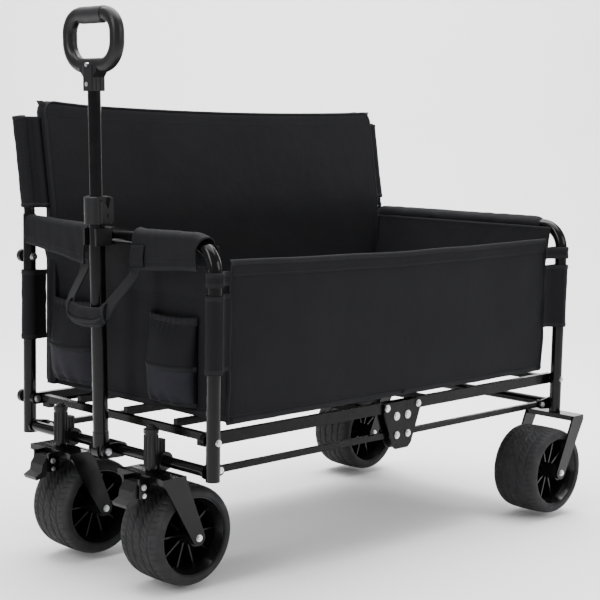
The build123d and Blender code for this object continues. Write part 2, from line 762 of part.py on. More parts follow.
save(make_end_wall(front_x, 1, front_cover), "front_wall")
save(make_end_wall(rear_x, -1, rear_cover), "rear_wall")


def sleeve(post_x, inward, y, z_a, z_b):
    """A fabric sleeve round a post, with the web that ties it to the tub's corner."""
    with BuildPart() as tube_sleeve:
        back_inset = back_front_inset if inward > 0 else back_rear_inset
        web_x = post_x + inward * ((back_inset if y > 0 else corner_inset) - fabric_gap)
        web_y = y - (9 if y > 0 else -9)
        block(post_x, web_x, web_y - 2, web_y + 2, z_a, z_b)
        pin_z(post_x, y, z_a, z_b, sleeve_r)
        pin_z(post_x, y, z_a, z_b, tube_r, Mode.SUBTRACT)
    return tube_sleeve.part


def wing(post_x, inward):
    """The fabric wing from the padded back to the leaning extension."""
    lean_dir = Vector(0, lean_out, extension_top_z - lean_start_z).normalized()
    foot_z = lean_start_z + 6
    foot_y = half_width + lean_slope * 6
    web_end = (back_front_inset if inward > 0 else back_rear_inset) - fabric_gap
    with BuildPart() as wing_part:
        with BuildSketch(Plane(origin=(post_x, foot_y, foot_z), x_dir=(1, 0, 0), z_dir=lean_dir)):
            Circle(extension_r + 2.4)
            with Locations((inward * web_end / 2, -8)):
                Rectangle(web_end, 4)
            Circle(extension_r + 0.1, mode=Mode.SUBTRACT)
        extrude(amount=(extension_top_z - foot_z) / lean_dir.Z - 1)
    return wing_part.part


for end, post_x, inward in (("front", front_x, 1), ("rear", rear_x, -1)):
    with BuildPart() as corner_sleeves:
        for side in sides.values():
            add(sleeve(post_x, inward, side * half_width, 366, 490))
        add(sleeve(post_x, inward, -half_width, 505, 518))
        add(wing(post_x, inward))
    save(corner_sleeves.part, f"{end}_corner_sleeves")

cover_skirt_z = 517.0
with BuildPart() as front_rail_cover:
    for y_a, y_b in ((-200.0, -64.0), (60.0, half_width - tube_r)):
        pin_y(front_x, top_z, y_a, y_b, tube_r + front_cover)
        block(front_x - tube_r - front_cover, front_x - tube_r, y_a, y_b, cover_skirt_z, top_z)
        pin_y(front_x, top_z, y_a, y_b, tube_r, Mode.SUBTRACT)
save(front_rail_cover.part, "front_rail_cover")

with BuildPart() as rear_rail_cover:
    pin_y(rear_x, top_z, -201.0, half_width - tube_r, tube_r + rear_cover)
    pin_y(rear_x, top_z, -201.0, half_width - tube_r, tube_r, Mode.SUBTRACT)
save(rear_rail_cover.part, "rear_rail_cover")

pocket_top_z, pocket_low_z = 442.0, 300.0
pocket_depth = 30.0
pocket_back_x = front_x + corner_inset - 4
with BuildPart() as cup_pockets:
    for y_a, y_b in ((-166.0, -50.0), (98.0, 210.0)):
        block(pocket_back_x - pocket_depth, pocket_back_x, y_a, y_b, pocket_low_z, pocket_top_z)
        block(pocket_back_x - pocket_depth + 3, pocket_back_x - 3, y_a + 3, y_b - 3,
              pocket_low_z + 4, pocket_top_z + 1, Mode.SUBTRACT)
save(cup_pockets.part, "cup_pockets")

strap_width = 24.0
wrap_x, wrap_z = front_x - 59.0, 437.0
with BuildPart() as carry_strap:
    block(wrap_x - 7, wrap_x + 7, -50, 54, wrap_z - 16, wrap_z + 16)
    for foot_y, top_y in ((-42.0, -72.0), (46.0, 62.0)):
        foot = Vector(wrap_x, foot_y, wrap_z + 12)
        top = Vector(front_x - tube_r - front_cover - 3, top_y, cover_skirt_z + 8)
        with BuildSketch(Plane(origin=foot, x_dir=(0, 1, 0), z_dir=top - foot)) as web:
            Rectangle(strap_width, 3)
        extrude(web.sketch, amount=(top - foot).length)
save(carry_strap.part, "carry_strap")
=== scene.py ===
"""A folding camp wagon: cloth, tyres, materials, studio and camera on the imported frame."""
import json
from math import copysign, cos, dist, exp, hypot, pi, radians, sin

import bmesh
import bpy
import numpy as np
from mathutils import Matrix, Vector, noise

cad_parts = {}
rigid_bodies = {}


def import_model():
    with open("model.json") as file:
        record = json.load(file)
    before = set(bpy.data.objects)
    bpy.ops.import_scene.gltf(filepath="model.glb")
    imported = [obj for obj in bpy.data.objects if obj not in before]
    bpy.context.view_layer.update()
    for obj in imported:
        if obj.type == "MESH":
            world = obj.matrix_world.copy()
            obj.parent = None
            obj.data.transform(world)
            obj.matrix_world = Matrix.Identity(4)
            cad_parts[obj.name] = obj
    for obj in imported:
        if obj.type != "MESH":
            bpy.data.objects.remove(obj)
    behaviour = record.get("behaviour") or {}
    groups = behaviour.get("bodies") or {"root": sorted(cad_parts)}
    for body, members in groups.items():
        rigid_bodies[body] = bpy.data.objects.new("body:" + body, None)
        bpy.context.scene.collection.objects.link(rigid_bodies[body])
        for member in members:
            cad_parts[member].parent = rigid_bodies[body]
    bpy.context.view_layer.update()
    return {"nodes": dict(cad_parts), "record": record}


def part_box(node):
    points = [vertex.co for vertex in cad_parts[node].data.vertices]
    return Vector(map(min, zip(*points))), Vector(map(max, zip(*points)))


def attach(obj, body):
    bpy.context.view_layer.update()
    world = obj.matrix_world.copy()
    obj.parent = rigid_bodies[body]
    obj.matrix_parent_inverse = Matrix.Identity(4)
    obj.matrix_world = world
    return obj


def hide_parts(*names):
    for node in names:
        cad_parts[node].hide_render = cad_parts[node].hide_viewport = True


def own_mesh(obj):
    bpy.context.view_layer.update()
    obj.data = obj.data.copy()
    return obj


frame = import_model()
scene_objects = bpy.context.scene.collection.objects

# ---- sizes in millimetres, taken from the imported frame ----
MM = 0.001


def box_mm(node):
    low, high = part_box(node)
    return np.array(low) / MM, np.array(high) / MM


def middle(node):
    low, high = box_mm(node)
    return (low + high) / 2


front_x = middle("front_hoop")[0]
rear_x = middle("rear_hoop")[0]
half_width = 248.0
tube_r = 11.5
top_z = 567.0
corner_inset = 42.0
wall_low_z = 284.0
near_wall_top_z = 541.0
back_top_z = 789.0
lean_start_z, extension_top_z, lean_out = 596.0, 762.0, 28.9
lean_slope = lean_out / (extension_top_z - lean_start_z)
back_outer, back_inner = 9.0, 35.0
back_front_inset, back_rear_inset = 29.0, 32.0
wheel_radius = 84.5
near_wall_face_y = -236.0
roll_radius = 17.6
tread_pitch = 11.05
seam_pitch = 6.0


# ---- materials ----
class Shader:
    """A material with its Principled shader and a few ways to drive it."""

    def __init__(self, name, colour, roughness, **sockets):
        self.material = bpy.data.materials.new(name)
        self.material.use_nodes = True
        self.nodes = self.material.node_tree.nodes
        self.links = self.material.node_tree.links
        self.bsdf = self.nodes["Principled BSDF"]
        self.colour = colour
        self.bsdf.inputs["Base Color"].default_value = (*colour, 1)
        self.bsdf.inputs["Roughness"].default_value = roughness
        for socket, value in sockets.items():
            self.bsdf.inputs[socket.replace("_", " ")].default_value = value
        self.height = None

    def add(self, kind, **values):
        node = self.nodes.new(kind)
        for key, value in values.items():
            if key in node.inputs:
                node.inputs[key].default_value = value
            else:
                setattr(node, key, value)
        return node

    def link(self, source, target):
        self.links.new(source, target)

    def coordinates(self, kind="Object", scale=1.0):
        source = self.add("ShaderNodeTexCoord").outputs[kind]
        mapping = self.add("ShaderNodeMapping")
        mapping.inputs["Scale"].default_value = (scale,) * 3 if np.isscalar(scale) else scale
        self.link(source, mapping.inputs["Vector"])
        return mapping.outputs["Vector"]

    def noise(self, scale, detail=3.0, kind="Object", stretch=1.0):
        texture = self.add("ShaderNodeTexNoise", Scale=scale, Detail=detail)
        self.link(self.coordinates(kind, stretch), texture.inputs["Vector"])
        return texture.outputs["Fac"]

    def spread(self, factor, low, high):
        """Maps the middle of a noise's range to low and high."""
        ramp = self.add("ShaderNodeMapRange")
        for socket, value in (("From Min", 0.3), ("From Max", 0.7), ("To Min", low), ("To Max", high)):
            ramp.inputs[socket].default_value = value
        self.link(factor, ramp.inputs["Value"])
        return ramp.outputs["Result"]

    def vary_colour(self, factor, low, high):
        """The base colour times low to high as factor goes from 0.3 to 0.7."""
        mix = self.add("ShaderNodeVectorMath", operation="SCALE")
        mix.inputs[0].default_value = self.colour
        self.link(self.spread(factor, low, high), mix.inputs["Scale"])
        self.link(mix.outputs["Vector"], self.bsdf.inputs["Base Color"])

    def vary_roughness(self, factor, low, high):
        self.link(self.spread(factor, low, high), self.bsdf.inputs["Roughness"])

    def bump(self, height, distance, strength=1.0):
        """Adds one more bump on top of those already there."""
        node = self.add("ShaderNodeBump", Distance=distance, Strength=strength)
        self.link(height, node.inputs["Height"])
        if self.height is not None:
            self.link(self.height, node.inputs["Normal"])
        self.height = node.outputs["Normal"]
        self.link(self.height, self.bsdf.inputs["Normal"])

    def wave(self, direction, pitch, kind):
        texture = self.add("ShaderNodeTexWave", Scale=pi / 10 / pitch, wave_type="BANDS",
                           bands_direction=direction, wave_profile="SIN")
        self.link(self.coordinates(kind), texture.inputs["Vector"])
        return texture.outputs["Fac"]

    def weave(self, pitch, distance, kind="UV", axes="XY"):
        """Crossing threads, as a bump; returns the threads' pattern."""
        threads = self.add("ShaderNodeMath", operation="MULTIPLY")
        for socket, axis in enumerate(axes):
            self.link(self.wave(axis, pitch, kind), threads.inputs[socket])
        self.bump(threads.outputs["Value"], distance, 0.6)
        return threads.outputs["Value"]


def fabric(name, colour, kind="UV", axes="XY", pitch=0.0011):
    cloth = Shader(name, colour, 0.72, Sheen_Weight=0.014, Sheen_Roughness=0.45, Specular_IOR_Level=0.1)
    cloth.bsdf.inputs["Sheen Tint"].default_value = (0.75, 0.78, 0.85, 1)
    cloth.vary_colour(cloth.noise(9.0, 6.0), 0.86, 1.14)
    cloth.bump(cloth.noise(26.0, 4.0), 0.0035, 0.35)
    cloth.bump(cloth.noise(150.0, 3.0), 0.0006, 0.4)
    cloth.weave(pitch, 0.00022, kind, axes)
    return cloth.material


charcoal = (0.0058, 0.0058, 0.0068)
cloth_uv = fabric("oxford_cloth", charcoal)
cloth_flat = fabric("pad_cloth", charcoal, kind="Object")
piping_cloth = fabric("binding_tape", (0.0095, 0.0095, 0.0110), pitch=0.0007)


tape = Shader("woven_webbing", (0.0085, 0.0085, 0.0095), 0.66, Sheen_Weight=0.02, Specular_IOR_Level=0.12)
tape.vary_colour(tape.noise(40.0, 4.0), 0.85, 1.2)
tape.bump(tape.wave("X", 0.0022, "UV"), 0.0005, 0.8)
tape.bump(tape.wave("Y", 0.0012, "UV"), 0.0002, 0.5)
webbing = tape.material

sewing = Shader("sewing_thread", (0.015, 0.015, 0.017), 0.6, Specular_IOR_Level=0.15)
sewing.vary_colour(sewing.noise(300.0), 0.8, 1.2)
thread = sewing.material

net = Shader("pocket_mesh", (0.0105, 0.0103, 0.0145), 0.75, Specular_IOR_Level=0.14)
net.vary_colour(net.noise(20.0), 0.85, 1.15)
net.weave(0.0024, 0.0009)
mesh_cloth = net.material


def make_powder_coat(name, colour, roughness, level):
    paint = Shader(name, colour, roughness, Specular_IOR_Level=level)
    paint.vary_colour(paint.noise(14.0, 5.0), 0.85, 1.2)
    paint.vary_roughness(paint.noise(30.0, 4.0), roughness - 0.06, roughness + 0.1)
    paint.bump(paint.noise(900.0, 2.0), 0.00012, 0.35)
    return paint.material


def make_zinc():
    zinc = Shader("zinc_plate", (0.62, 0.62, 0.64), 0.3, Metallic=1.0)
    zinc.vary_colour(zinc.noise(180.0, 4.0), 0.8, 1.1)
    zinc.vary_roughness(zinc.noise(400.0), 0.22, 0.42)
    zinc.bump(zinc.noise(1200.0), 0.0001, 0.3)
    return zinc.material


def make_plastic(name, colour, roughness, grain):
    plastic = Shader(name, colour, roughness, Specular_IOR_Level=0.22)
    plastic.vary_colour(plastic.noise(18.0, 4.0), 0.88, 1.15)
    plastic.vary_roughness(plastic.noise(60.0, 4.0), roughness - 0.05, roughness + 0.08)
    plastic.bump(plastic.noise(1600.0, 2.0), grain, 0.4)
    return plastic.material


def make_tyre_rubber():
    rubber = Shader("tyre_rubber", (0.0135, 0.0135, 0.0146), 0.55, Specular_IOR_Level=0.22)
    rubber.vary_colour(rubber.noise(45.0, 6.0), 0.75, 1.3)
    rubber.vary_roughness(rubber.noise(70.0, 4.0), 0.55, 0.8)
    rubber.bump(rubber.noise(700.0, 4.0), 0.0003, 0.5)
    return rubber.material


slot_materials = {
    "frame_paint": make_powder_coat("frame_powder_coat", (0.0026, 0.0026, 0.0029), 0.13, 0.17),
    "rail_paint": make_powder_coat("rail_powder_coat", (0.0026, 0.0021, 0.0020), 0.24, 0.10),
    "zinc": make_zinc(),
    "black_plastic": make_plastic("moulded_plastic", (0.0062, 0.0062, 0.0069), 0.34, 0.00015),
    "hub_plastic": make_plastic("gloss_plastic", (0.0055, 0.0055, 0.0062), 0.16, 0.00003),
    "grip_rubber": make_plastic("grip_rubber", (0.0125, 0.0125, 0.0138), 0.42, 0.0003),
    "tyre": make_tyre_rubber(),
    "fabric": cloth_flat,
    "webbing": webbing,
}
tyre_rubber = slot_materials["tyre"]
node_slots = {part["node"]: part.get("material_slot") for part in frame["record"]["subparts"]}
for node, node_object in frame["nodes"].items():
    for index in range(len(node_object.data.materials)):
        node_object.data.materials[index] = slot_materials[node_slots[node]]

# ---- making meshes ----


def add_mesh(name, points, faces, material, uvs=None, smooth=True):
    """A mesh object from points in millimetres, with one UV for each point."""
    mesh = bpy.data.meshes.new(name)
    mesh.from_pydata((np.asarray(points, float) * MM).tolist(), [], faces)
    if uvs is not None:
        layer = mesh.uv_layers.new(name="UVMap")
        corner_points = np.zeros(len(mesh.loops), np.int32)
        mesh.loops.foreach_get("vertex_index", corner_points)
        layer.data.foreach_set("uv", np.asarray(uvs, np.float32)[corner_points].ravel())
    mesh.polygons.foreach_set("use_smooth", [smooth] * len(mesh.polygons))
    mesh.materials.append(material)
    mesh.update()
    made = bpy.data.objects.new(name, mesh)
    scene_objects.link(made)
    return made


def bake(piece):
    """Replaces the piece's mesh by what its modifiers make of it."""
    graph = bpy.context.evaluated_depsgraph_get()
    mesh = bpy.data.meshes.new_from_object(piece.evaluated_get(graph))
    piece.modifiers.clear()
    piece.data = mesh
    return piece


def thicken(piece, thickness):
    """Gives a single-layer sheet its cloth thickness, in millimetres."""
    solid = piece.modifiers.new("thickness", "SOLIDIFY")
    solid.thickness = thickness * MM
    solid.offset = 0
    solid.use_even_offset = False
    return bake(piece)


def grid_faces(across, along, ring=False):
    """Quads of a grid whose points run across first; ring joins the last column to the first."""
    columns = across if ring else across - 1
    faces = []
    for row in range(along - 1):
        for column in range(columns):
            a = row * across + column
            b = row * across + (column + 1) % across
            faces.append((a, b, b + across, a + across))
    return faces


def tube_faces(around, along):
    """A ringed grid with a flat cap on each end."""
    return [*grid_faces(around, along, ring=True), tuple(range(around)),
            tuple(reversed(range((along - 1) * around, along * around)))]


def sheet_from(name, point, across, along, size, material, thickness=1.3):
    """A sheet from point(u, v), both from 0 to 1, with UVs in metres of its flat size."""
    points, uvs = [], []
    for row in range(along):
        for column in range(across):
            u, v = column / (across - 1), row / (along - 1)
            points.append(point(u, v))
            uvs.append((u * size[0] * MM, v * size[1] * MM))
    made = add_mesh(name, points, grid_faces(across, along), material, uvs)
    return thicken(made, thickness) if thickness else made


def smooth_path(corners, count, closed=False):
    """count points spaced evenly along a smooth curve through the corners."""
    corners = [np.asarray(c, float) for c in corners]
    total = len(corners)
    dense = []
    spans = total if closed else total - 1
    for i in range(spans):
        if closed:
            p0, p1, p2, p3 = (corners[(i + k) % total] for k in (-1, 0, 1, 2))
        else:
            p1, p2 = corners[i], corners[i + 1]
            p0 = corners[i - 1] if i else 2 * p1 - p2
            p3 = corners[i + 2] if i + 2 < total else 2 * p2 - p1
        for t in np.linspace(0, 1, 16, endpoint=False):
            dense.append(0.5 * (2 * p1 + (p2 - p0) * t + (2 * p0 - 5 * p1 + 4 * p2 - p3) * t ** 2
                                + (3 * p1 - p0 - 3 * p2 + p3) * t ** 3))
    dense.append(corners[0] if closed else corners[-1])
    dense = np.array(dense)
    reach = np.concatenate([[0], np.cumsum(np.linalg.norm(np.diff(dense, axis=0), axis=1))])
    marks = np.linspace(0, reach[-1], count, endpoint=not closed)
    return np.stack([np.interp(marks, reach, dense[:, k]) for k in range(dense.shape[1])], 1)


def path_length(points):
    return float(np.linalg.norm(np.diff(points, axis=0), axis=1).sum())


def crease(x, y, z, scale, seed):
    """Smooth noise from about -1 to 1, on a scale in millimetres."""
    return noise.noise(Vector((x / scale + seed, y / scale - seed, z / scale + 0.5 * seed)))


def sweep(name, path, section, material=piping_cloth, up=(0, 0, 1), closed=False):
    """Carries a closed section, points across and up, along a path in millimetres."""
    path = np.asarray(path, float)
    count, ring = len(path), len(section)
    points, uvs = [], []
    travelled = 0.0
    side_before = None
    for i in range(count):
        ahead = path[(i + 1) % count] if closed or i + 1 < count else path[i]
        behind = path[i - 1] if closed or i else path[i]
        tangent = (ahead - behind) / max(np.linalg.norm(ahead - behind), 1e-9)
        side = np.cross(tangent, up)
        if np.linalg.norm(side) < 1e-3:
            side = side_before if side_before is not None else np.cross(tangent, (1, 0, 0))
        side = side / np.linalg.norm(side)
        side_before = side
        lift = np.cross(side, tangent)
        if i:
            travelled += np.linalg.norm(path[i] - path[i - 1])
        around = 0.0
        for k, (across, over) in enumerate(section):
            points.append(path[i] + side * across + lift * over)
            around += dist(section[k], section[k - 1]) if k else 0.0
            uvs.append((around * MM, travelled * MM))
    if closed:
        last = (count - 1) * ring
        faces = grid_faces(ring, count, ring=True)
        faces += [(last + k, last + (k + 1) % ring, (k + 1) % ring, k) for k in range(ring)]
    else:
        faces = tube_faces(ring, count)
    return add_mesh(name, points, faces, material, uvs)


def oval(across, over, count=12):
    angles = np.linspace(0, 2 * pi, count, endpoint=False)
    return [(across * cos(a), over * sin(a)) for a in angles]


def flat_band(width, thickness):
    """The section of a woven tape: flat, with rounded edges."""
    half, edge = width / 2, thickness / 2
    right = [(half - edge + edge * cos(a), edge * sin(a)) for a in np.linspace(-1.57, 1.57, 5)]
    left = [(-half + edge - edge * cos(a), -edge * sin(a)) for a in np.linspace(-1.57, 1.57, 5)]
    inner = [(half * k, edge) for k in (0.5, 0.0, -0.5)]
    lower = [(half * k, -edge) for k in (-0.5, 0.0, 0.5)]
    return right + inner + left + lower


def stitches(name, lines, pitch=seam_pitch, length=3.2, width=0.9):
    """Thread lying along lines of points, as short raised stitches."""
    points, faces = [], []
    for line in lines:
        line = np.asarray(line, float)
        reach = np.concatenate([[0], np.cumsum(np.linalg.norm(np.diff(line, axis=0), axis=1))])
        starts = np.arange(pitch / 2, reach[-1] - pitch / 2, pitch)

        def at(distance):
            return np.array([np.interp(distance, reach, line[:, k]) for k in range(3)])

        for start in starts:
            a, b = at(start), at(min(start + length, reach[-1]))
            run = (b - a) / max(np.linalg.norm(b - a), 1e-9)
            side = np.cross(run, (0, 0, 1) if abs(run[2]) < 0.9 else (1, 0, 0))
            side /= np.linalg.norm(side)
            lift = np.cross(side, run)
            first = len(points)
            points.append(a)
            for where in (a + (b - a) * 0.25, a + (b - a) * 0.75):
                for turn in range(4):
                    angle = turn * pi / 2
                    points.append(where + (side * cos(angle) + lift * sin(angle)) * width / 2)
            points.append(b)
            for turn in range(4):
                after = (turn + 1) % 4
                faces.append((first, first + 1 + after, first + 1 + turn))
                faces.append((first + 1 + turn, first + 1 + after, first + 5 + after, first + 5 + turn))
                faces.append((first + 9, first + 5 + turn, first + 5 + after))
    return add_mesh(name, points, faces, thread)


def place_coords(mesh):
    held = np.zeros(len(mesh.vertices) * 3, np.float32)
    mesh.vertices.foreach_get("co", held)
    return held.reshape(-1, 3).astype(float)


def even_mesh(piece, voxel=5.0):
    """Rebuilds a closed mesh from even quads of about voxel mm."""
    remesh = piece.modifiers.new("remesh", "REMESH")
    remesh.mode = "VOXEL"
    remesh.voxel_size = voxel * MM
    return bake(piece)


def puff(piece, cap, pressure=4.0, frames=20):
    """Swells a closed mesh with a short cloth simulation, moving no point more than cap mm."""
    start = place_coords(piece.data)
    cloth = piece.modifiers.new("cloth", "CLOTH")
    cloth.settings.quality = 4
    cloth.settings.use_pressure = True
    cloth.settings.uniform_pressure_force = pressure
    cloth.settings.effector_weights.gravity = 0
    cloth.settings.tension_stiffness = 12
    scene = bpy.context.scene
    for step in range(1, frames + 1):
        scene.frame_set(step)
    bake(piece)
    moved = place_coords(piece.data) - start
    size = np.linalg.norm(moved, axis=1, keepdims=True)
    limited = start + moved * np.minimum(1.0, cap * MM / np.maximum(size, 1e-9))
    piece.data.vertices.foreach_set("co", limited.astype(np.float32).ravel())
    piece.data.update()
    scene.frame_set(1)
    return piece


def subdivide(piece, levels=1):
    smoother = piece.modifiers.new("smooth", "SUBSURF")
    smoother.levels = smoother.render_levels = levels
    bake(piece)
    piece.data.polygons.foreach_set("use_smooth", [True] * len(piece.data.polygons))
    return piece


def reshape(piece, move):
    """Passes every point, in millimetres, through move."""
    coords = place_coords(piece.data) / MM
    coords = np.array([move(*p) for p in coords]) * MM
    piece.data.vertices.foreach_set("co", coords.astype(np.float32).ravel())
    piece.data.update()
    return piece


def fold_along(piece):
    """Gives a piece that spans the wagon's length a mesh of its own."""
    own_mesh(piece)


def sheet(piece, size, held, body, slot="fabric", **more):
    """Rides a sheet on a body; its flat size, given in millimetres, is not used."""
    trim(body, piece, slot=slot)


def trim(body, *pieces, slot="fabric"):
    """Rides pieces on a body; slot, for what they are made of, is not used."""
    for piece in pieces:
        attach(piece, body)


def cushion(piece, body, node):
    """Rides a filled piece on a body and hides the CAD solid that it stands in for."""
    trim(body, piece)
    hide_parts(node)


# ---- the near wall ----
wall_start, wall_end = front_x + corner_inset - 3, rear_x - corner_inset + 3


def near_wall_y(x, z):
    """The near wall's outer face: a slight belly, with soft pulls towards its corners."""
    u = (x - wall_start) / (wall_end - wall_start)
    v = (z - wall_low_z) / (near_wall_top_z - wall_low_z)
    u, v = min(max(u, 0), 1), min(max(v, 0), 1)
    belly = 4.5 * sin(pi * u) ** 0.6 * sin(pi * min(v * 0.92 + 0.06, 1)) ** 0.7
    slack = 1.6 * crease(x, 0, z * 1.6, 190, 3.1) + 0.7 * crease(x, 0, z * 0.7, 60, 7.7)
    pulls = 1.5 * exp(-u * 16) * sin(z / 15 + x / 26)
    pulls += 1.5 * exp(-(1 - u) * 16) * sin(z / 17 - x / 24)
    return near_wall_face_y - belly - slack * sin(pi * u) ** 0.4 - pulls


def near_wall_top(x):
    u = min(max((x - wall_start) / (wall_end - wall_start), 0), 1)
    return near_wall_top_z - 5.0 * sin(pi * u) + 1.2 * crease(x, 0, 0, 120, 9.0)


def near_wall_point(u, v):
    x = wall_start + u * (wall_end - wall_start)
    z = wall_low_z + v * (near_wall_top(x) - wall_low_z)
    return x, near_wall_y(x, z), z


near_size = (wall_end - wall_start, near_wall_top_z - wall_low_z)
near_wall = sheet_from("near_wall_cloth", near_wall_point, 150, 46, near_size, cloth_uv, 1.6)
columns = np.linspace(wall_start, wall_end, 90)
hem_path = [(x, near_wall_y(x, near_wall_top(x)) - 0.4, near_wall_top(x) - 3.0) for x in columns]
near_hem = sweep("near_wall_hem", hem_path, oval(3.4, 5.2))
band_width = 22


def hem_band_point(u, v):
    x = wall_start + u * near_size[0]
    top = near_wall_top(x)
    y = near_wall_y(x, top - band_width * v) - 1.5 - 0.7 * sin(pi * min(v * 1.1, 1))
    return x, y, top - 3 - band_width * v


hem_band = sheet_from("near_wall_hem_band", hem_band_point, 120, 6, (near_size[0], band_width), cloth_uv, 1.0)
low_path = [(x, near_wall_y(x, wall_low_z) - 0.4, wall_low_z + 1.2 * crease(x, 0, 0, 70, 2.0)) for x in columns]
near_binding = sweep("near_wall_binding", low_path, oval(2.2, 5.0))
end_pipes = []
for end, x in (("front", wall_start + 1.0), ("rear", wall_end - 1.0)):
    levels = np.linspace(wall_low_z, near_wall_top(x) - 2, 40)
    end_pipes.append(sweep(f"near_wall_piping_{end}", [(x, near_wall_y(x, z) - 1.2, z) for z in levels],
                           oval(2.6, 2.6), up=(1, 0, 0)))
near_lines = [[(x, near_wall_y(x, near_wall_top(x) - 21) - 2.6, near_wall_top(x) - 21.5) for x in columns],
              [(x, near_wall_y(x, wall_low_z + 8) - 1.1, wall_low_z + 8) for x in columns]]
for x in (wall_start + 13, wall_end - 13):
    levels = np.linspace(wall_low_z + 8, near_wall_top(x) - 24, 40)
    near_lines.append([(x, near_wall_y(x, z) - 1.1, z) for z in levels])
near_stitches = stitches("near_wall_stitching", near_lines, length=3.8)
near_trim = [near_hem, hem_band, near_binding, near_stitches, *end_pipes]
sheet(near_wall, near_size, "hung", "front_frame", with_pieces=near_trim)
trim("front_frame", *near_trim)
for piece in [near_wall, *near_trim]:
    fold_along(piece)
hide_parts("near_wall")

# ---- the padded back ----
back_start, back_end = front_x + back_front_inset, rear_x - back_rear_inset
back_mid = half_width - (back_outer + back_inner) / 2
back_thick = back_inner - back_outer
back_corner = 22.0


def back_top(x):
    """The back's top edge: it rises to its front corner and sags a little between the posts."""
    u = min(max((x - back_start) / (back_end - back_start), 0), 1)
    return back_top_z - 1.0 - 9.0 * sin(pi * u) ** 0.8 + 2.5 * exp(-((u - 0.03) / 0.06) ** 2)


def lean_shift(z):
    """How far the back has leaned out at this height, with a soft bend where the lean starts."""
    over = z - lean_start_z
    if over < -30:
        return 0.0
    if over < 30:
        return lean_slope * (over + 30) ** 2 / 120
    return lean_slope * over


def back_half_thickness(x, z):
    edge_distance = min(x - back_start, back_end - x, z - wall_low_z, back_top(x) - z)
    corner_x = min(x - back_start, back_end - x)
    corner_z = back_top(x) - z
    if corner_x < back_corner and corner_z < back_corner:
        edge_distance = back_corner - hypot(back_corner - corner_x, back_corner - corner_z)
    t = min(max(edge_distance, 0) / 7.0, 1)
    square = back_thick / 2 - 0.5
    return square - 3.2 * (1 - t) ** 2


def back_face_y(x, z, face, half, offset):
    """The inner (-1) or outer (1) face at x and z, with its slack, and offset more mm out from it."""
    slack = 1.5 * crease(x, 40, z, 170, 1.3) + 0.6 * crease(x, 40, z * 0.6, 55, 4.2)
    return back_mid + lean_shift(z) + face * (half + slack * min(half / 9, 1) * 0.8 + offset)


def back_point(u, v, face):
    x = back_start + u * (back_end - back_start)
    z = wall_low_z + v * (back_top(x) - wall_low_z)
    corner_x, corner_z = min(x - back_start, back_end - x), back_top(x) - z
    if corner_x < back_corner and corner_z < back_corner:
        reach = max(corner_x, corner_z) and hypot(back_corner - corner_x, back_corner - corner_z)
        if reach > back_corner:
            pull = back_corner / reach
            corner_x = back_corner - (back_corner - corner_x) * pull
            corner_z = back_corner - (back_corner - corner_z) * pull
            x = back_start + corner_x if u < 0.5 else back_end - corner_x
            z = back_top(x) - corner_z
    return x, back_face_y(x, z, face, back_half_thickness(x, z), 0.0), z


def make_back():
    across, along = 150, 84
    points, uvs = [], []
    for face in (-1, 1):
        for row in range(along):
            for column in range(across):
                u, v = column / (across - 1), row / (along - 1)
                points.append(back_point(u, v, face))
                uvs.append((u * (back_end - back_start) * MM, v * (back_top_z - wall_low_z) * MM))
    flat = grid_faces(across, along)
    shift = across * along
    faces = [tuple(f) for f in flat] + [tuple(reversed([i + shift for i in f])) for f in flat]
    rim = ([(0, c) for c in range(across)] + [(r, across - 1) for r in range(1, along)]
           + [(along - 1, c) for c in range(across - 2, -1, -1)] + [(r, 0) for r in range(along - 2, 0, -1)])
    ids = [r * across + c for r, c in rim]
    for a, b in zip(ids, ids[1:] + ids[:1]):
        faces.append((b, a, a + shift, b + shift))
    return add_mesh("back_pad", points, faces, cloth_uv, uvs)


back_pad = make_back()


def back_edge_line(inset, face, offset):
    """A line round the back's front end, top and rear end, a given way in from its edge."""
    low = wall_low_z + 6
    radius = back_corner - inset
    ends = []
    for end, inward, start in ((back_start, 1, 180), (back_end, -1, 90)):
        centre = end + inward * back_corner, back_top(end) - back_corner
        turn = [(centre[0] + radius * cos(a), centre[1] + radius * sin(a))
                for a in np.radians(np.linspace(start, start - 90, 7))]
        rise = [(end + inward * inset, z) for z in np.linspace(low, centre[1], 12)]
        ends.append(rise + turn if inward > 0 else turn + rise[::-1])
    across = np.linspace(back_start + back_corner + 20, back_end - back_corner - 20, 40)
    corners = [*ends[0], *((x, back_top(x) - inset) for x in across), *ends[1]]
    line = []
    for x, z in corners:
        half = back_half_thickness(x, min(z, back_top(x) - max(inset, 0.5)))
        line.append((x, back_face_y(x, z, face, half, offset), z))
    return smooth_path(line, 240)


back_pipes = [sweep(f"back_piping_{name}", back_edge_line(2.6, face, -0.6), oval(2.6, 2.6), up=(0, 1, 0))
              for name, face in (("inner", -1), ("outer", 1))]
back_lines = [back_edge_line(24.0, face, 0.3) for face in (-1, 1)]
back_stitches = stitches("back_stitching", back_lines)
cushion(back_pad, "front_frame", "back_panel")
trim("front_frame", *back_pipes, back_stitches)
for piece in [back_pad, *back_pipes, back_stitches]:
    fold_along(piece)

# ---- end walls ----
end_low_y, end_high_y = -half_width + 12.5, half_width - back_outer - 1.5
end_width = end_high_y - end_low_y


